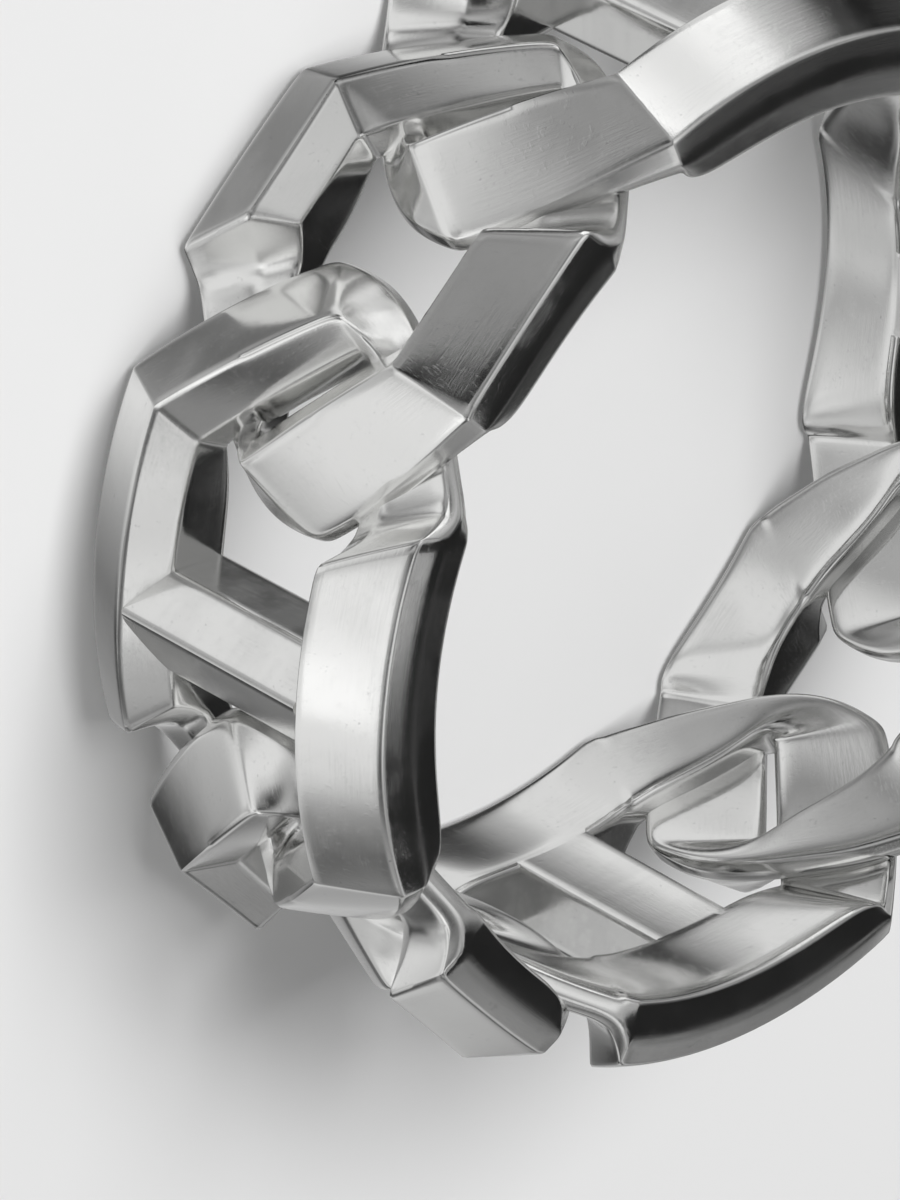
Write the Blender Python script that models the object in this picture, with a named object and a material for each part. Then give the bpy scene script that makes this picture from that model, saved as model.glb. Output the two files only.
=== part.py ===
"""Chain link ring: eight interlocked curb links closed in a circle, lying on its side.

Four long links carry a straight crossbar and four short links are open. Every link is a
closed loop of bar that goes round the finger: over its neighbour on one half of each rim,
and under the other neighbour on the other half. A link looks the same after half a turn
about the radial line through its middle, so only half of its loop is described.

Places on a link are given on the band unrolled: an angle round the finger in degrees from
the link's middle, clockwise seen from above, a height along the finger, and a radius.
Metres, +Z up, the ring's axis is +Z and the origin is on the axis at the lower rim.
"""

from collections import namedtuple
from math import ceil, cos, radians, sin

import bmesh
import bpy

MM = 0.001

# Driving dimensions of the band.
LINK_PAIRS = 4
PITCH = 360 / (2 * LINK_PAIRS)
BAND_WIDTH = 8.8 * MM
HALF_WIDTH = BAND_WIDTH / 2
BORE_RADIUS = 9.9 * MM
RIDGE_RADIUS = 12.3 * MM
OPENING_EDGE_RADIUS = 11.4 * MM
RIDGE_HEIGHT = 2.6 * MM
OPENING_HEIGHT = 1.98 * MM

# Half of a link's outer bar on each rim, as the angle from its middle to its mitred corner.
LONG_CORNER = 20.6
SHORT_CORNER = 10.9
BAR_STATION_ANGLE = 5.0

# Flat land on the rim, on which the ring rests.
LAND_TOP_RADIUS = 11.5 * MM
LAND_FOOT_RADIUS = 11.2 * MM

# Where two links cross, the lower bar is thin and the upper one starts above this gap.
UNDER_TOP_RADIUS = 10.65 * MM
CROSSING_GAP = 0.3 * MM
OVER_BOTTOM_RADIUS = UNDER_TOP_RADIUS + CROSSING_GAP

# Crossbar of a long link. Its ridge lies a little to one side of the link's middle.
CROSSBAR_OFFSET = -1.5
CROSSBAR_WIDE_SIDE = 7.5
CROSSBAR_NARROW_SIDE = 4.4
CROSSBAR_SINK = 0.5 * MM
CROSSBAR_INSET = 0.02 * MM

SILVER = (0.80, 0.80, 0.79, 1.0)
SILVER_ROUGHNESS = 0.22

# Radii of a bar's section, and how far its underside reaches towards its outer edge, from 0 at
# the opening to 1 at the outer edge.
Level = namedtuple("Level", "ridge outer_edge outer_foot bottom opening_edge underside")
LEVELS = {
    "full": Level(RIDGE_RADIUS, LAND_TOP_RADIUS, LAND_FOOT_RADIUS, BORE_RADIUS, OPENING_EDGE_RADIUS, 0.88),
    "corner": Level(RIDGE_RADIUS, 11.45 * MM, 11.15 * MM, OVER_BOTTOM_RADIUS, OPENING_EDGE_RADIUS, 0.92),
    "arm": Level(12.12 * MM, 11.25 * MM, 11.05 * MM, OVER_BOTTOM_RADIUS, 11.30 * MM, 0.92),
    "arm end": Level(11.85 * MM, 11.05 * MM, 10.75 * MM, 10.60 * MM, 11.15 * MM, 0.92),
    "end": Level(11.50 * MM, 10.90 * MM, 10.45 * MM, 10.10 * MM, 10.95 * MM, 0.90),
    "rise": Level(UNDER_TOP_RADIUS, 10.60 * MM, 10.30 * MM, 9.95 * MM, 10.60 * MM, 0.90),
    "under": Level(UNDER_TOP_RADIUS, 10.60 * MM, 10.25 * MM, BORE_RADIUS, 10.60 * MM, 0.90),
}

# Half of a loop. Angles count from a corner of the bar, on side -1 or 1, and heights from the
# middle of the band.
Station = namedtuple("Station", "name side level outer_angle outer_height "
                                "ridge_angle ridge_height opening_angle opening_height")
HALF_LOOP = (
    Station("near corner", -1, "corner", -2.0, HALF_WIDTH, 0.0, RIDGE_HEIGHT, 2.4, OPENING_HEIGHT),
    Station("full depth", -1, "full", 0.3, HALF_WIDTH, 3.0, RIDGE_HEIGHT, 9.0, OPENING_HEIGHT),
    Station("bar end", 1, "full", -0.3, HALF_WIDTH, -6.3, RIDGE_HEIGHT, -8.5, OPENING_HEIGHT),
    Station("dip", 1, "under", 2.2, 4.28 * MM, -3.2, 2.70 * MM, -5.5, OPENING_HEIGHT),
    Station("under rim", 1, "under", 6.4, 3.65 * MM, 1.0, 2.50 * MM, -1.0, 1.85 * MM),
    Station("under turn", 1, "under", 10.2, 3.10 * MM, 5.2, 2.00 * MM, 4.0, 1.50 * MM),
    Station("under arm", 1, "under", 14.2, 2.25 * MM, 9.8, 1.65 * MM, 8.5, 1.20 * MM),
    Station("rise", 1, "rise", 18.4, 1.40 * MM, 13.4, 1.45 * MM, 11.8, 1.05 * MM),
    Station("end", 1, "end", 21.8, 0.15 * MM, 14.8, 0.98 * MM, 12.9, 0.95 * MM),
    Station("arm end", 1, "arm end", 21.0, -1.25 * MM, 15.5, 0.42 * MM, 13.2, 0.80 * MM),
    Station("arm middle", 1, "arm", 13.8, -2.70 * MM, 8.0, -1.05 * MM, 5.8, -0.55 * MM),
)


def point(angle, height, radius):
    """Turn a place on the unrolled band into a point in space."""
    turn = -radians(angle)
    return (radius * cos(turn), radius * sin(turn), HALF_WIDTH + height)


def blend(start, end, share):
    return start + (end - start) * share


def loop_stations(corner):
    """All stations of a link's loop, the second half turned about the radial line.

    A station is its level and the places, as angle and height, of its outer edge, its ridge
    and its edge on the opening.
    """
    half = []
    for row in HALF_LOOP:
        start = row.side * corner
        places = ((start + row.outer_angle, row.outer_height),
                  (start + row.ridge_angle, row.ridge_height),
                  (start + row.opening_angle, row.opening_height))
        if row.name == "bar end":
            previous = half[-1][1]
            steps = ceil((places[0][0] - previous[0][0]) / BAR_STATION_ANGLE)
            for step in range(1, steps):
                half.append((LEVELS["full"], tuple(
                    (blend(first[0], last[0], step / steps), last[1])
                    for first, last in zip(previous, places))))
        half.append((LEVELS[row.level], places))
    turned = [(level, tuple((-angle, -height) for angle, height in places)) for level, places in half]
    return half + turned


def section(level, places, middle):
    """The six corners of the bar's section at a station."""
    outer, ridge, opening = places

    def across(share, radius):
        angle = blend(opening[0], outer[0], share)
        height = blend(opening[1], outer[1], share)
        return point(middle + angle, height, radius)

    return (
        point(middle + ridge[0], ridge[1], level.ridge),
        across(1.0, level.outer_edge),
        across(1.0, level.outer_foot),
        across(level.underside, level.bottom),
        across(0.0, level.bottom),
        across(0.0, level.opening_edge),
    )


def mesh_object(name, build_mesh, material):
    """A mesh object from a function that fills a bmesh, with its faces pointing out."""
    shape = bmesh.new()
    build_mesh(shape)
    bmesh.ops.triangulate(shape, faces=shape.faces)
    bmesh.ops.recalc_face_normals(shape, faces=shape.faces)
    mesh = bpy.data.meshes.new(name)
    shape.to_mesh(mesh)
    shape.free()
    mesh.materials.append(material)
    return bpy.data.objects.new(name, mesh)


def link_loop(shape, corner, middle):
    """Loft the bar's section round the closed loop."""
    rings = []
    for level, places in loop_stations(corner):
        rings.append([shape.verts.new(place) for place in section(level, places, middle)])
    for ring, following in zip(rings, rings[1:] + rings[:1]):
        for side in range(len(ring)):
            after = (side + 1) % len(ring)
            shape.faces.new((ring[side], ring[after], following[after], following[side]))


def crossbar(shape, middle):
    """Loft the ridged crossbar from one rim bar to the other."""
    reach = OPENING_HEIGHT + CROSSBAR_SINK
    profile = (
        (0.0, RIDGE_RADIUS - CROSSBAR_INSET),
        (CROSSBAR_NARROW_SIDE, OPENING_EDGE_RADIUS),
        (CROSSBAR_NARROW_SIDE, BORE_RADIUS + CROSSBAR_INSET),
        (-CROSSBAR_WIDE_SIDE, BORE_RADIUS + CROSSBAR_INSET),
        (-CROSSBAR_WIDE_SIDE, OPENING_EDGE_RADIUS),
    )
    rings = []
    for height in (-reach, reach):
        rings.append([shape.verts.new(point(middle + CROSSBAR_OFFSET + angle, height, radius))
                      for angle, radius in profile])
    lower, upper = rings
    for side in range(len(profile)):
        after = (side + 1) % len(profile)
        shape.faces.new((lower[side], lower[after], upper[after], upper[side]))
    shape.faces.new(lower)
    shape.faces.new(upper)


def silver():
    material = bpy.data.materials.new("silver")
    material.use_nodes = True
    shader = material.node_tree.nodes["Principled BSDF"]
    shader.inputs["Base Color"].default_value = SILVER
    shader.inputs["Metallic"].default_value = 1.0
    shader.inputs["Roughness"].default_value = SILVER_ROUGHNESS
    return material


def make_link(name, corner, middle, collection):
    link = mesh_object(name, lambda shape: link_loop(shape, corner, middle), silver())
    collection.objects.link(link)
    return link


def add_crossbar(link, middle, cutters):
    """Join a crossbar to a long link with a Boolean union."""
    bar = mesh_object(link.name + "_crossbar", lambda shape: crossbar(shape, middle), silver())
    cutters.objects.link(bar)
    bar.hide_render = True
    bar.display_type = "WIRE"
    union = link.modifiers.new("crossbar", "BOOLEAN")
    union.operation = "UNION"
    union.solver = "EXACT"
    union.object = bar


def clear_scene():
    for item in list(bpy.data.objects):
        bpy.data.objects.remove(item, do_unlink=True)


def new_collection(name):
    collection = bpy.data.collections.new(name)
    bpy.context.scene.collection.children.link(collection)
    return collection


def build():
    clear_scene()
    ring = new_collection("chain_link_ring")
    cutters = new_collection("crossbar_shapes")
    for pair in range(LINK_PAIRS):
        long_middle = 2 * pair * PITCH
        long_link = make_link(f"long_link_{2 * pair + 1}", LONG_CORNER, long_middle, ring)
        add_crossbar(long_link, long_middle, cutters)
        make_link(f"short_link_{2 * pair + 2}", SHORT_CORNER, long_middle + PITCH, ring)


build()
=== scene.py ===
"""Chain link ring: eight interlocked silver links closed in a circle, lying on a pale floor.

Each link is drawn as a coarse cage on the band unrolled: an angle round the finger, a height
along it and a radius. Geometry Nodes smooth the cage between its folds and wrap it round the
finger. Long links carry a straight crossbar, and short links are open.
"""

from collections import namedtuple
from math import cos, pi, radians, sin

import bmesh
import bpy
from bpy.props import FloatProperty, FloatVectorProperty, IntProperty, PointerProperty
from mathutils import Euler, Matrix, Vector


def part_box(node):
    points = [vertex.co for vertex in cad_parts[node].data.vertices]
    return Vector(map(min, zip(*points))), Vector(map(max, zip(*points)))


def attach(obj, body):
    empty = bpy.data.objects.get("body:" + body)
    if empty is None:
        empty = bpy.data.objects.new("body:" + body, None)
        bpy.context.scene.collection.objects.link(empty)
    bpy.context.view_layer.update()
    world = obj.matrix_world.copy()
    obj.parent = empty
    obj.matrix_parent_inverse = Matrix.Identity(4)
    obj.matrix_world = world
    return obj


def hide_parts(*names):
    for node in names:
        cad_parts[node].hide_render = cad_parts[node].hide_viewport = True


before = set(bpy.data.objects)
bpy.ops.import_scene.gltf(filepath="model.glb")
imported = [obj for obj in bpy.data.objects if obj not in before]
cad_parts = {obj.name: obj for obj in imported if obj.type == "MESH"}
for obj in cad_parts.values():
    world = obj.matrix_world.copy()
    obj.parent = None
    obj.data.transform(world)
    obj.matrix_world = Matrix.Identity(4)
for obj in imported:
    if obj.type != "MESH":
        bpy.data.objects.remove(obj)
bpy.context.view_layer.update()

bl_info = {
    "name": "Chain Link Ring",
    "version": (1, 0, 0),
    "blender": (4, 5, 0),
    "location": "View3D > Sidebar > Ring",
    "description": "Models a silver ring of interlocked roof-shaped links",
    "category": "Object",
}

BODY = "root"

MM = 0.001
LONG_LINKS = sorted(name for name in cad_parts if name.startswith("long_link"))
SHORT_LINKS = sorted(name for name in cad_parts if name.startswith("short_link"))
PITCH = 360 / (len(LONG_LINKS) + len(SHORT_LINKS))
HALF_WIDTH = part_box(LONG_LINKS[0])[1].z / 2

# Shape of a bar's section at each level, in millimetres from the finger's axis. The outer and
# inner shares say where the underside ends, from 0 at the opening to 1 at the outer edge, and the
# crispness how sharp the edges along the bar stay.
Level = namedtuple("Level", "ridge outer_edge rim_foot bottom opening_edge "
                            "outer_share inner_share crispness")
LEVELS = {
    "full": Level(12.30, 11.46, 10.80, 9.90, 11.40, 0.94, 0.00, 1.0),
    "corner": Level(12.30, 11.42, 10.90, 10.60, 11.40, 0.94, -0.05, 1.0),
    "arm": Level(12.12, 10.85, 10.60, 10.50, 11.30, 0.95, -0.10, 1.0),
    "arm end": Level(11.85, 10.80, 10.45, 10.35, 11.15, 0.92, -0.05, 0.85),
    "end": Level(11.45, 10.75, 10.40, 10.10, 10.95, 0.90, 0.00, 0.85),
    "rise": Level(11.00, 10.60, 10.30, 9.95, 10.80, 0.90, 0.00, 0.75),
    "under": Level(10.75, 10.60, 10.30, 9.90, 10.60, 0.90, 0.00, 0.75),
}

# Shares of the way from the opening to the rim where the face ends and where the rim's foot is.
EDGE_SHARE = 0.93
RIM_SHARE = 1.0

# Half of a link's loop. Angles count in degrees from a corner of the bar (side -1 or 1) or from
# the link's middle (side 0), and heights in millimetres from the middle of the band.
Station = namedtuple("Station", "name side level outer_angle outer_height "
                                "ridge_angle ridge_height opening_angle opening_height fold")
HALF_LOOP = (
    Station("near corner", -1, "corner", -1.6, 4.38, 0.0, 2.60, 2.4, 1.98, 0.62),
    Station("full depth", -1, "full", -0.3, 4.40, 3.0, 2.60, 9.0, 1.98, 0.0),
    Station("bar middle", 0, "full", 0.0, 4.40, 0.0, 2.60, 0.0, 1.98, 0.0),
    Station("bar end", 1, "full", -0.3, 4.40, -6.3, 2.60, -8.5, 1.98, 0.55),
    Station("dip", 1, "under", 2.2, 4.28, -3.2, 2.70, -5.5, 1.98, 0.0),
    Station("under rim", 1, "under", 6.4, 3.65, 1.0, 2.50, -1.0, 1.85, 0.0),
    Station("under turn", 1, "under", 10.2, 3.10, 5.2, 2.00, 4.0, 1.50, 0.0),
    Station("under arm", 1, "under", 14.2, 2.25, 9.8, 1.65, 8.5, 1.20, 0.0),
    Station("rise", 1, "rise", 18.4, 1.40, 13.4, 1.45, 11.8, 1.05, 0.0),
    Station("end", 1, "end", 21.9, 0.15, 14.8, 0.98, 12.9, 0.95, 0.0),
    Station("arm end", 1, "arm end", 21.2, -1.25, 15.5, 0.42, 13.2, 0.80, 0.42),
    Station("arm middle", 1, "arm", 13.8, -2.70, 8.0, -1.05, 5.8, -0.55, 0.0),
)
LONG_CORNER = 20.6
SHORT_CORNER = 10.9

# How sharp each lengthwise edge of the section is, and how worn and open to light it is, which
# keeps tarnish and painted shade off the silver there.
Edge = namedtuple("Edge", "name fold wear")
EDGES = (
    Edge("ridge", 0.62, 1.0),
    Edge("outer edge", 0.55, 0.7),
    Edge("rim foot", 0.30, 0.3),
    Edge("outer bottom", 0.45, 0.2),
    Edge("inner bottom", 0.50, 0.2),
    Edge("opening edge", 0.58, 0.6),
)

# A crossbar runs a little into both rim bars, and just inside their ridge and their bore.
CROSSBAR_REACH = 2.5 * MM
CROSSBAR_EDGE_RADIUS = 11.4 * MM
CROSSBAR_FLOOR_INSET = 0.03 * MM
CROSSBAR_RIDGE_INSET = 0.01 * MM
CROSSBAR_FOLD = 0.58
# How worn and open to light the crossbar's edges are, which keeps painted shade off them.
CROSSBAR_EDGE_WEAR_AND_LIGHT = 0.4

# In the UV map: the length of one step of a crossbar, the number of sides of a bar, and the
# shift from link to link, so that no two links are brushed alike.
CROSSBAR_UV_STEP = 0.05
UV_SIDES = 6
UV_SHIFT = 0.37

# Faces that meet at more than this angle are shaded with a sharp edge.
SHARP_ANGLE = radians(38)


class RingSizes(bpy.types.PropertyGroup):
    """Sizes of the ring that a user would change."""
    smoothness: IntProperty(
        name="Smoothness", description="Times that each cage is divided", default=4, min=1, max=5)
    crossbar_wide_side: FloatProperty(
        name="Crossbar Wide Side",
        description="Angle from the crossbar's ridge to its farther edge",
        default=radians(7.5), unit="ROTATION")
    crossbar_narrow_side: FloatProperty(
        name="Crossbar Narrow Side",
        description="Angle from the crossbar's ridge to its nearer edge",
        default=radians(4.4), unit="ROTATION")
    crossbar_offset: FloatProperty(
        name="Crossbar Offset",
        description="Angle from the link's middle to the crossbar's ridge",
        default=radians(-0.4), unit="ROTATION")
    flatness: FloatProperty(
        name="Short Link Flatness",
        description="How far the middle of a short link's face lies under its arc",
        default=0.25 * MM, unit="LENGTH")


class SilverFinish(bpy.types.PropertyGroup):
    """Colour and polish of the silver."""
    colour: FloatVectorProperty(
        name="Silver", description="Colour of clean polished silver",
        default=(0.82, 0.82, 0.81), subtype="COLOR", min=0, max=1)
    # The darker colour stands for tarnish and nicks, and also for painted shade in the hollows.
    tarnish_and_shade_colour: FloatVectorProperty(
        name="Tarnish", description="Colour in the hollows, where polish doesn't reach",
        default=(0.52, 0.52, 0.52), subtype="COLOR", min=0, max=1)
    polish: FloatProperty(
        name="Roughness", description="Roughness of the polished faces",
        default=0.12, min=0, max=1)
    brushing: FloatProperty(
        name="Brushing", description="Depth of the brushed scratches",
        default=0.0035 * MM, unit="LENGTH")


class StageSettings(bpy.types.PropertyGroup):
    """Floor and lights round the ring."""
    floor_colour: FloatVectorProperty(
        name="Floor", description="Colour of the floor",
        default=(0.8, 0.8, 0.8), subtype="COLOR", min=0, max=1)
    surround_light: FloatProperty(
        name="Surround Light", description="Brightness of the room's light parts",
        default=0.85, min=0)
    surround_dark: FloatProperty(
        name="Surround Dark", description="Brightness of the room's dark parts",
        default=0.05, min=0)


class Value:
    """A node socket that takes part in Python expressions, each adding a Math node."""

    def __init__(self, maker, socket):
        self.maker = maker
        self.socket = socket

    def math(self, operation, *values):
        inputs = dict(enumerate(values))
        return self.maker.node("ShaderNodeMath", {"operation": operation}, inputs)["Value"]

    def __add__(self, other):
        return self.math("ADD", self, other)

    def __radd__(self, other):
        return self.math("ADD", other, self)

    def __sub__(self, other):
        return self.math("SUBTRACT", self, other)

    def __rsub__(self, other):
        return self.math("SUBTRACT", other, self)

    def __mul__(self, other):
        return self.math("MULTIPLY", self, other)

    def __rmul__(self, other):
        return self.math("MULTIPLY", other, self)

    def __truediv__(self, other):
        return self.math("DIVIDE", self, other)

    def cos(self):
        return self.math("COSINE", self)

    def sin(self):
        return self.math("SINE", self)

    def at_least(self, other):
        return self.math("MAXIMUM", self, other)

    def at_most(self, other):
        return self.math("MINIMUM", self, other)

    def within_one(self):
        """The value kept from 0 to 1."""
        return self.at_least(0.0).at_most(1.0)


class NodeMaker:
    """Adds nodes to a shader or geometry tree."""

    def __init__(self, tree):
        self.tree = tree

    def node(self, kind, settings=None, inputs=None):
        """Add a node. The result gives its output sockets by name."""
        made = self.tree.nodes.new(kind)
        for name, value in (settings or {}).items():
            setattr(made, name, value)
        for place, value in (inputs or {}).items():
            if isinstance(value, Value):
                self.tree.links.new(value.socket, made.inputs[place])
            else:
                made.inputs[place].default_value = value
        return {socket.name: Value(self, socket) for socket in made.outputs if socket.enabled}

    def mix(self, share, first, second):
        """Mix two colours."""
        made = self.tree.nodes.new("ShaderNodeMix")
        made.data_type = "RGBA"
        sockets = (made.inputs[0], made.inputs[6], made.inputs[7])
        for socket, value in zip(sockets, (share, first, second)):
            if isinstance(value, Value):
                self.tree.links.new(value.socket, socket)
            else:
                socket.default_value = value
        return Value(self, made.outputs[2])


def add_object(name, data):
    """Add an object for some data to the scene."""
    made = bpy.data.objects.new(name, data)
    bpy.context.scene.collection.objects.link(made)
    return made


def loop_stations(corner):
    """All stations of a link's loop, the second half turned about the radial line."""
    half = []
    for row in HALF_LOOP:
        if row.name == "bar middle" and corner == SHORT_CORNER:
            continue
        start = row.side * corner
        half.append((LEVELS[row.level], row.fold,
                     (start + row.outer_angle, row.outer_height),
                     (start + row.ridge_angle, row.ridge_height),
                     (start + row.opening_angle, row.opening_height)))
    turned = []
    for level, fold, *places in half:
        turned.append((level, fold, *((-angle, -height) for angle, height in places)))
    return half + turned


def section(station):
    """Six corners of the bar's section at a station, as (angle, height, radius)."""
    level, _fold, outer, ridge, opening = station

    def across(share, radius):
        angle = opening[0] + (outer[0] - opening[0]) * share
        height = opening[1] + (outer[1] - opening[1]) * share
        return (radians(angle), height * MM, radius * MM)

    return (
        (radians(ridge[0]), ridge[1] * MM, level.ridge * MM),
        across(EDGE_SHARE, level.outer_edge),
        across(RIM_SHARE, level.rim_foot),
        across(level.outer_share, level.bottom),
        across(level.inner_share, level.bottom),
        across(0.0, level.opening_edge),
    )


class Cage:
    """Rings of corners joined to a bar, with how worn and open to light each corner is, its folds
    and a UV map along it.
    """

    def __init__(self):
        self.shape = bmesh.new()
        self.wear = self.shape.verts.layers.float.new("wear")
        self.fold = self.shape.edges.layers.float.new("fold")
        self.along = self.shape.loops.layers.uv.new("along")
        self.rings = []

    def add_ring(self, corners):
        """Add a ring from the place of each corner and how worn and open to light it is."""
        ring = []
        for place, wear in corners:
            corner = self.shape.verts.new(place)
            corner[self.wear] = wear
            ring.append(corner)
        self.rings.append(ring)

    def bridge(self, number, step):
        """Add the faces from a ring to the next one, each step long in the UV map."""
        ring = self.rings[number]
        following = self.rings[(number + 1) % len(self.rings)]
        for side in range(len(ring)):
            after = (side + 1) % len(ring)
            face = self.shape.faces.new(
                (ring[side], ring[after], following[after], following[side]))
            corners = ((number, side), (number, side + 1),
                       (number + 1, side + 1), (number + 1, side))
            for loop, (u, v) in zip(face.loops, corners):
                loop[self.along].uv = (u * step, v / UV_SIDES)

    def fold_along(self, number, side, amount):
        """Fold the edge from a ring's corner to the next ring."""
        following = self.rings[(number + 1) % len(self.rings)]
        self.shape.edges.get((self.rings[number][side], following[side]))[self.fold] = amount

    def fold_ring(self, ring, amount):
        """Fold all edges of a ring."""
        for side in range(len(ring)):
            edge = self.shape.edges.get((ring[side], ring[(side + 1) % len(ring)]))
            edge[self.fold] = amount

    def mesh(self, name):
        """The finished cage as a mesh."""
        bmesh.ops.recalc_face_normals(self.shape, faces=self.shape.faces)
        mesh = bpy.data.meshes.new(name)
        self.shape.to_mesh(mesh)
        self.shape.free()
        return mesh


def link_cage(name, corner):
    """Cage of a link's closed loop on the band unrolled."""
    stations = loop_stations(corner)
    cage = Cage()
    for station in stations:
        cage.add_ring([(place, edge.wear) for place, edge in zip(section(station), EDGES)])
    for number in range(len(stations)):
        cage.bridge(number, 1.0 / len(stations))
    for number, (level, fold, *_places) in enumerate(stations):
        for side, edge in enumerate(EDGES):
            cage.fold_along(number, side, edge.fold * level.crispness)
        cage.fold_ring(cage.rings[number], fold)
    return cage.mesh(name)


def crossbar_cage(name, sizes):
    """Cage of a crossbar on the band unrolled: a roof between the two rim bars."""
    floor_radius = LEVELS["full"].bottom * MM + CROSSBAR_FLOOR_INSET
    ridge_radius = LEVELS["full"].ridge * MM - CROSSBAR_RIDGE_INSET
    narrow, wide = sizes.crossbar_narrow_side, sizes.crossbar_wide_side
    profile = (
        (0.0, ridge_radius, 1.0),
        (narrow, CROSSBAR_EDGE_RADIUS, CROSSBAR_EDGE_WEAR_AND_LIGHT),
        (narrow, floor_radius, CROSSBAR_EDGE_WEAR_AND_LIGHT),
        (-wide, floor_radius, CROSSBAR_EDGE_WEAR_AND_LIGHT),
        (-wide, CROSSBAR_EDGE_RADIUS, CROSSBAR_EDGE_WEAR_AND_LIGHT),
    )
    cage = Cage()
    for height in (-CROSSBAR_REACH, 0.0, CROSSBAR_REACH):
        cage.add_ring([((sizes.crossbar_offset + angle, height, radius), wear)
                       for angle, radius, wear in profile])
    for number in range(len(cage.rings) - 1):
        cage.bridge(number, CROSSBAR_UV_STEP)
        for side in range(len(profile)):
            cage.fold_along(number, side, CROSSBAR_FOLD)
    for ring in (cage.rings[0], cage.rings[-1]):
        cage.shape.faces.new(ring)
        cage.fold_ring(ring, 1.0)
    return cage.mesh(name)


# The wrapping tree's inputs and the kinds of their sockets.
WRAP_INPUTS = (
    ("Cage", "Geometry"),
    ("Smoothness", "Int"),
    ("Rim Height", "Float"),
    ("Flatness", "Float"),
    ("Flat Half Angle", "Float"),
    ("Bore Radius", "Float"),
    ("Ridge Radius", "Float"),
    ("Finish", "Material"),
)


def wrapping_tree():
    """Geometry nodes that smooth a cage between its folds and wrap it round the finger."""
    tree = bpy.data.node_groups.new("Wrap Round Finger", "GeometryNodeTree")
    tree.is_modifier = True
    for name, kind in WRAP_INPUTS:
        tree.interface.new_socket(name, in_out="INPUT", socket_type="NodeSocket" + kind)
    tree.interface.new_socket("Link", in_out="OUTPUT", socket_type="NodeSocketGeometry")
    make = NodeMaker(tree)
    given = make.node("NodeGroupInput")
    fold = make.node("GeometryNodeInputNamedAttribute", {"data_type": "FLOAT"}, {"Name": "fold"})
    smooth = make.node("GeometryNodeSubdivisionSurface", None, {
        "Mesh": given["Cage"], "Level": given["Smoothness"], "Edge Crease": fold["Attribute"]})
    place = make.node("GeometryNodeInputPosition")
    parts = make.node("ShaderNodeSeparateXYZ", None, {"Vector": place["Position"]})
    angle, height, radius = parts["X"], parts["Y"], parts["Z"]
    share = angle / given["Flat Half Angle"]
    bow = (1.0 - share * share).at_least(0.0)
    depth = (radius - given["Bore Radius"]) / (given["Ridge Radius"] - given["Bore Radius"])
    radius = radius - given["Flatness"] * bow * depth
    wrapped = make.node("ShaderNodeCombineXYZ", None, {
        "X": radius * angle.cos(), "Y": 0.0 - radius * angle.sin(),
        "Z": height + given["Rim Height"]})
    moved = make.node("GeometryNodeSetPosition", None, {
        "Geometry": smooth["Mesh"], "Position": wrapped["Vector"]})
    # Wrapping mirrors the cage, so its faces are turned to point out again.
    turned = make.node("GeometryNodeFlipFaces", None, {"Mesh": moved["Geometry"]})
    shaded = make.node("GeometryNodeSetShadeSmooth", None, {"Geometry": turned["Mesh"]})
    real = make.node("GeometryNodeRealizeInstances", None, {"Geometry": shaded["Geometry"]})
    finished = make.node("GeometryNodeSetMaterial", None, {
        "Geometry": real["Geometry"], "Material": given["Finish"]})
    make.node("NodeGroupOutput", None, {"Link": finished["Geometry"]})
    return tree


def wrap_values(sizes, corner, flatness):
    """Values of the wrapping tree's inputs for a kind of link."""
    full = LEVELS["full"]
    return {
        "Smoothness": sizes.smoothness,
        "Rim Height": HALF_WIDTH,
        "Flatness": flatness,
        "Flat Half Angle": radians(corner),
        "Bore Radius": full.bottom * MM,
        "Ridge Radius": full.ridge * MM,
        "Finish": silver(),
    }


def wrapped_mesh(cage, tree, values):
    """Mesh of a cage after the wrapping tree."""
    holder = add_object(cage.name + "_cage", cage)
    wrap = holder.modifiers.new("wrap", "NODES")
    wrap.node_group = tree
    identifiers = {item.name: item.identifier for item in tree.interface.items_tree}
    for name, value in values.items():
        wrap[identifiers[name]] = value
    evaluated = holder.evaluated_get(bpy.context.evaluated_depsgraph_get())
    mesh = bpy.data.meshes.new_from_object(evaluated)
    mesh.name = cage.name
    holder.modifiers.remove(wrap)
    bpy.data.objects.remove(holder)
    return mesh


def joined(mesh, other):
    """Boolean union of two meshes."""
    first = add_object("first", mesh)
    second = add_object("second", other)
    union = first.modifiers.new("union", "BOOLEAN")
    union.operation = "UNION"
    union.solver = "EXACT"
    union.object = second
    evaluated = first.evaluated_get(bpy.context.evaluated_depsgraph_get())
    result = bpy.data.meshes.new_from_object(evaluated)
    bpy.data.objects.remove(first)
    bpy.data.objects.remove(second)
    return result


def place_links(names, mesh, first_middle):
    """Copy a link's mesh to its places round the ring, and let each copy replace its node."""
    for number, name in enumerate(names):
        middle = first_middle + number * 2 * PITCH
        copy = mesh.copy()
        copy.transform(Matrix.Rotation(-radians(middle), 4, "Z"))
        copy.shade_smooth()
        copy.set_sharp_from_angle(angle=SHARP_ANGLE)
        for loop in copy.uv_layers["along"].data:
            loop.uv[1] += number * UV_SHIFT
        link = add_object(name + "_silver", copy)
        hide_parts(name)
        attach(link, BODY)


# Scratches of the finish: how many across a bar and along it, and their turn in radians.
Scratches = namedtuple("Scratches", "across along turn")
BRUSHING = Scratches(190.0, 70.0, 0.0)
CROSS_SCRATCHES = Scratches(46.0, 420.0, 0.25)

# Scales of the finish's noises in the ring's own space, per metre.
CLOUD_SCALE = 420.0
PATCH_SCALE = 1500.0
GRAIN_SCALE = 9000.0
LEAST_ROUGHNESS = 0.06
BUMP_STRENGTH = 0.6


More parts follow.
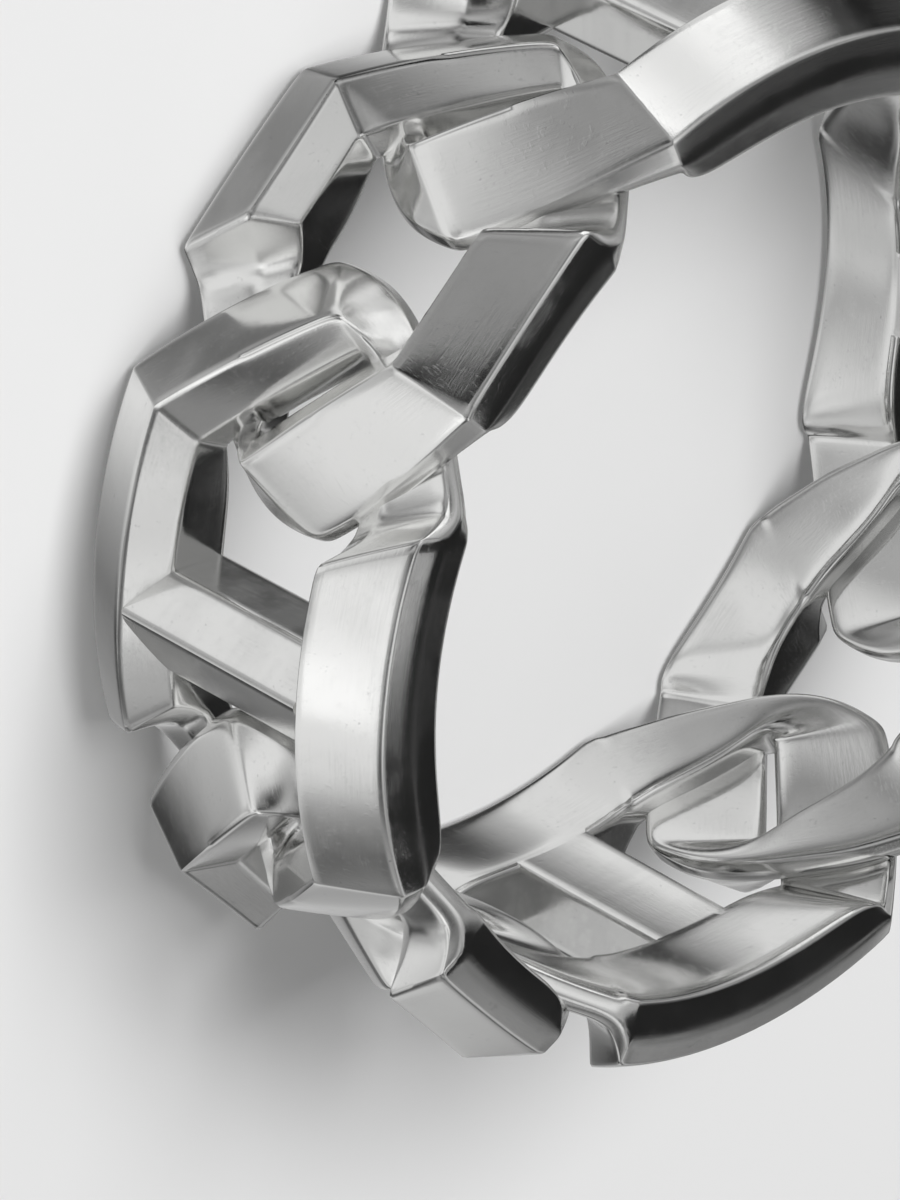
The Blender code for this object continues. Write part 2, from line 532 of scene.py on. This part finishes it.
def silver():
    """Polished silver, brushed along the bars, with tarnish and painted shade in the hollows that
    leave the worn ridges brighter.
    """
    known = bpy.data.materials.get("polished_silver")
    if known:
        return known
    finish = bpy.context.scene.silver_finish
    material = bpy.data.materials.new("polished_silver")
    material.use_nodes = True
    tree = material.node_tree
    shader = tree.nodes["Principled BSDF"]
    make = NodeMaker(tree)
    worn_and_lit = make.node("ShaderNodeAttribute", {"attribute_name": "wear"})["Fac"]
    spot = make.node("ShaderNodeTexCoord")["Object"]
    along = make.node("ShaderNodeUVMap", {"uv_map": "along"})["UV"]

    def noise(vector, scale, detail=2.0, roughness=0.5):
        return make.node("ShaderNodeTexNoise", None, {
            "Vector": vector, "Scale": scale, "Detail": detail, "Roughness": roughness})["Fac"]

    def stretched(scratches):
        return make.node("ShaderNodeMapping", None, {
            "Vector": along, "Rotation": (0.0, 0.0, scratches.turn),
            "Scale": (scratches.along, scratches.across, 1.0)})["Vector"]

    brushed = noise(stretched(BRUSHING), 1.0, 4.0, 0.7)
    crossed = noise(stretched(CROSS_SCRATCHES), 1.0, 3.0, 0.65)
    cloud = noise(spot, CLOUD_SCALE, 3.0)
    patch = noise(spot, PATCH_SCALE)
    grain = noise(spot, GRAIN_SCALE, 3.0, 0.6)
    satin = ((cloud - 0.44) * 7.0).within_one()
    scored = ((crossed - 0.56) * 6.0).within_one()
    roughness = (finish.polish + 0.05 * (cloud - 0.5) + 0.12 * satin * brushed
                 + 0.05 * scored + 0.02 * (patch - 0.5))
    tree.links.new(roughness.at_least(LEAST_ROUGHNESS).socket, shader.inputs["Roughness"])
    # Painted shade and tarnish in the hollows: darker where a corner is little worn and open to
    # light, in cloudy patches.
    hollow_shade_and_tarnish = (1.0 - worn_and_lit * 1.4).at_least(0.0) * cloud
    nicks = ((grain - 0.62) * 9.0).within_one() * (patch - 0.42).at_least(0.0) * 4.0
    # Share of the darker colour: painted shade and tarnish in the hollows, nicks, and uneven
    # brushing.
    tarnish_and_shade_share = (hollow_shade_and_tarnish * 0.30 + nicks * 0.5 + satin * (brushed - 0.5) * 0.4).within_one()
    colour = make.mix(tarnish_and_shade_share, (*finish.colour, 1), (*finish.tarnish_and_shade_colour, 1))
    tree.links.new(colour.socket, shader.inputs["Base Color"])
    relief = brushed * (0.15 + 0.85 * satin) + 0.25 * scored + 0.10 * patch - 0.15 * nicks
    bump = make.node("ShaderNodeBump", None, {
        "Strength": BUMP_STRENGTH, "Distance": finish.brushing, "Height": relief})
    tree.links.new(bump["Normal"].socket, shader.inputs["Normal"])
    shader.inputs["Metallic"].default_value = 1.0
    return material


class RING_OT_long_links(bpy.types.Operator):
    """Model the long links with their crossbars"""
    bl_idname = "ring.long_links"
    bl_label = "Long Links"

    def execute(self, context):
        sizes = context.scene.ring_sizes
        tree = wrapping_tree()
        values = wrap_values(sizes, LONG_CORNER, 0.0)
        loop = wrapped_mesh(link_cage("long_link", LONG_CORNER), tree, values)
        bar = wrapped_mesh(crossbar_cage("crossbar", sizes), tree, values)
        place_links(LONG_LINKS, joined(loop, bar), 0.0)
        return {"FINISHED"}


class RING_OT_short_links(bpy.types.Operator):
    """Model the short open links"""
    bl_idname = "ring.short_links"
    bl_label = "Short Links"

    def execute(self, context):
        sizes = context.scene.ring_sizes
        values = wrap_values(sizes, SHORT_CORNER, sizes.flatness)
        loop = wrapped_mesh(link_cage("short_link", SHORT_CORNER), wrapping_tree(), values)
        place_links(SHORT_LINKS, loop, PITCH)
        return {"FINISHED"}


# Soft parts of the room: the direction towards the middle of each as azimuth and elevation, its
# spread, all in degrees, and how much lighter or darker it is than the rest.
RoomPart = namedtuple("RoomPart", "name azimuth elevation spread amount")
ROOM_PARTS = (
    RoomPart("light floor in front", 20, -25, 48, 0.60),
    RoomPart("light floor behind", 236, -27, 30, 1.05),
    RoomPart("light floor at the right", 335, -16, 28, 0.75),
    RoomPart("light floor below", 40, -78, 28, 0.45),
    RoomPart("light floor under the camera", 303, -39, 15, 0.80),
    RoomPart("light floor at the left", 103, -18, 18, 0.25),
    RoomPart("glow overhead", 278, 58, 24, 0.60),
    RoomPart("dark floor at the back", 206, -38, 20, -0.60),
    RoomPart("dark floor at the left", 80, -60, 18, -0.35),
    RoomPart("dark low wall", 210, -4, 18, -0.80),
    RoomPart("dark wall beside the front light", 62, 2, 18, -0.22),
    RoomPart("glow beside the front light", 30, 10, 18, 0.55),
    RoomPart("dark wall at the right", 327, 12, 13, -0.45),
    RoomPart("dark wall at the far side", 160, 38, 32, -0.45),
)

# The room's own clouds: their scale, their contrast and how light the grey between them is.
ROOM_CLOUD_SCALE = 2.3
ROOM_CONTRAST = 1.8
ROOM_GREY = 0.32

# Lights and dark cards round the ring: the direction towards them as azimuth and elevation in
# degrees, their distance, width and height in metres, and a light's brightness and whether the
# silver reflects it.
Softbox = namedtuple("Softbox", "name azimuth elevation distance width height "
                                "brightness reflected")
SOFTBOXES = (
    Softbox("overhead", -82, 58, 0.60, 0.34, 0.34, 8.6, False),
    Softbox("front left", 10, 13, 0.50, 0.36, 0.17, 0.32, True),
    Softbox("back left", 256, 13, 0.50, 0.34, 0.24, 0.86, True),
    Softbox("high", 35, 60, 0.50, 0.26, 0.16, 0.50, True),
)
DarkCard = namedtuple("DarkCard", "name azimuth elevation distance width height")
DARK_CARDS = (
    DarkCard("beside the camera", 315.2, 22.2, 0.102, 0.0212, 0.0245),
    DarkCard("far side low", 212, 0, 0.30, 0.08, 0.05),
    DarkCard("far side", 157, 42, 0.30, 0.125, 0.40),
    DarkCard("above the near bar", 117, 56, 0.0723, 0.0364, 0.0262),
)

DARK_CLOTH = (0.01, 0.01, 0.01)
DARK_CLOTH_ROUGHNESS = 0.9

# The floor's half width in metres, and its roughness.
FLOOR_REACH = 1.5
FLOOR_ROUGHNESS = 0.6

# The camera that was fitted to the photo, in metres, degrees and millimetres.
CAMERA_PLACE = (0.130594, -0.093265, 0.125575)
CAMERA_TURN = (-31.491, -44.17, -175.674)
CAMERA_LENS = 194.2
SENSOR_HEIGHT = 24
CLIP_START = 0.01


def direction_to(azimuth, elevation):
    """The unit vector from the ring in a direction."""
    return Vector((
        cos(radians(elevation)) * cos(radians(azimuth)),
        cos(radians(elevation)) * sin(radians(azimuth)),
        sin(radians(elevation))))


def studio(stage):
    """A room that is grey all round, in soft light and dark parts for the silver to reflect."""
    world = bpy.data.worlds.new("studio")
    world.use_nodes = True
    tree = world.node_tree
    make = NodeMaker(tree)
    direction = make.node("ShaderNodeTexCoord")["Generated"]
    cloud = make.node("ShaderNodeTexNoise", None, {
        "Vector": direction, "Scale": ROOM_CLOUD_SCALE, "Detail": 1.5, "Roughness": 0.5})["Fac"]
    share = (cloud - 0.5) * ROOM_CONTRAST + ROOM_GREY
    for spot in ROOM_PARTS:
        towards = make.node("ShaderNodeVectorMath", {"operation": "DOT_PRODUCT"}, {
            0: direction, 1: direction_to(spot.azimuth, spot.elevation)})["Value"]
        edge = cos(radians(spot.spread))
        inside = ((towards - edge) * (1.0 / (1.0 - edge))).within_one()
        share = share + inside * spot.amount
    share = share.within_one()
    dark, light = stage.surround_dark, stage.surround_light
    shade = make.mix(share, (dark, dark, dark, 1), (light, light, light, 1))
    tree.links.new(shade.socket, tree.nodes["Background"].inputs["Color"])
    return world


def face_ring(item, azimuth, elevation, distance):
    """Put a light or card in a direction from the ring, facing it."""
    direction = direction_to(azimuth, elevation)
    item.location = direction * distance
    item.rotation_euler = direction.to_track_quat("Z", "Y").to_euler()


def add_softbox(row):
    """An area light with the brightness of its row."""
    data = bpy.data.lights.new(row.name, "AREA")
    data.shape = "RECTANGLE"
    data.size, data.size_y = row.width, row.height
    data.energy = row.brightness * pi * row.width * row.height
    light = add_object(row.name, data)
    light.visible_glossy = row.reflected
    face_ring(light, row.azimuth, row.elevation, row.distance)


def sheet(name, width, height, material):
    """A flat rectangle of a material."""
    shape = bmesh.new()
    bmesh.ops.create_grid(shape, x_segments=1, y_segments=1, size=0.5)
    bmesh.ops.scale(shape, vec=(width, height, 1), verts=shape.verts)
    mesh = bpy.data.meshes.new(name)
    shape.to_mesh(mesh)
    shape.free()
    mesh.materials.append(material)
    return add_object(name, mesh)


def plain_material(name, colour, roughness):
    """A material of one colour."""
    material = bpy.data.materials.new(name)
    material.use_nodes = True
    shader = material.node_tree.nodes["Principled BSDF"]
    shader.inputs["Base Color"].default_value = (*colour, 1)
    shader.inputs["Roughness"].default_value = roughness
    return material


def add_dark_card(row, cloth):
    """A card that only reflections show, as a photographer darkens a side of polished silver."""
    card = sheet(row.name, row.width, row.height, cloth)
    card.visible_camera = card.visible_shadow = card.visible_diffuse = False
    face_ring(card, row.azimuth, row.elevation, row.distance)


def add_floor(stage):
    """A pale floor that the silver doesn't reflect, as the room's soft parts stand in for it."""
    paint = plain_material("floor_paint", stage.floor_colour, FLOOR_ROUGHNESS)
    floor = sheet("floor", 2 * FLOOR_REACH, 2 * FLOOR_REACH, paint)
    floor.visible_glossy = False


def add_camera():
    """The camera at the photo's viewing angle."""
    data = bpy.data.cameras.new("camera")
    data.sensor_fit = "VERTICAL"
    data.sensor_height = SENSOR_HEIGHT
    data.lens = CAMERA_LENS
    data.clip_start = CLIP_START
    camera = add_object("camera", data)
    camera.location = CAMERA_PLACE
    camera.rotation_euler = Euler([radians(turn) for turn in CAMERA_TURN])
    return camera


class RING_OT_stage(bpy.types.Operator):
    """Set the floor, the lights and the camera"""
    bl_idname = "ring.stage"
    bl_label = "Stage"

    def execute(self, context):
        scene = context.scene
        stage = scene.stage_settings
        scene.view_settings.view_transform = "Standard"
        scene.world = studio(stage)
        add_floor(stage)
        for light in SOFTBOXES:
            add_softbox(light)
        black = plain_material("dark_cloth", DARK_CLOTH, DARK_CLOTH_ROUGHNESS)
        for card in DARK_CARDS:
            add_dark_card(card, black)
        scene.camera = add_camera()
        return {"FINISHED"}


class RING_PT_panel(bpy.types.Panel):
    """Lists the steps that make the ring"""
    bl_idname = "RING_PT_panel"
    bl_label = "Chain Link Ring"
    bl_space_type = "VIEW_3D"
    bl_region_type = "UI"
    bl_category = "Ring"

    def draw(self, context):
        scene = context.scene
        for group in (scene.ring_sizes, scene.silver_finish, scene.stage_settings):
            for name in group.__annotations__:
                self.layout.prop(group, name)
        for operator in OPERATORS:
            self.layout.operator(operator.bl_idname)


OPERATORS = (RING_OT_long_links, RING_OT_short_links, RING_OT_stage)
GROUPS = (("ring_sizes", RingSizes), ("silver_finish", SilverFinish),
          ("stage_settings", StageSettings))


def register():
    for name, group in GROUPS:
        bpy.utils.register_class(group)
        setattr(bpy.types.Scene, name, PointerProperty(type=group))
    for kind in (*OPERATORS, RING_PT_panel):
        bpy.utils.register_class(kind)


def unregister():
    for kind in (RING_PT_panel, *reversed(OPERATORS)):
        bpy.utils.unregister_class(kind)
    for name, group in reversed(GROUPS):
        delattr(bpy.types.Scene, name)
        bpy.utils.unregister_class(group)


def main():
    register()
    bpy.ops.ring.long_links()
    bpy.ops.ring.short_links()
    bpy.ops.ring.stage()


if __name__ == "__main__":
    main()
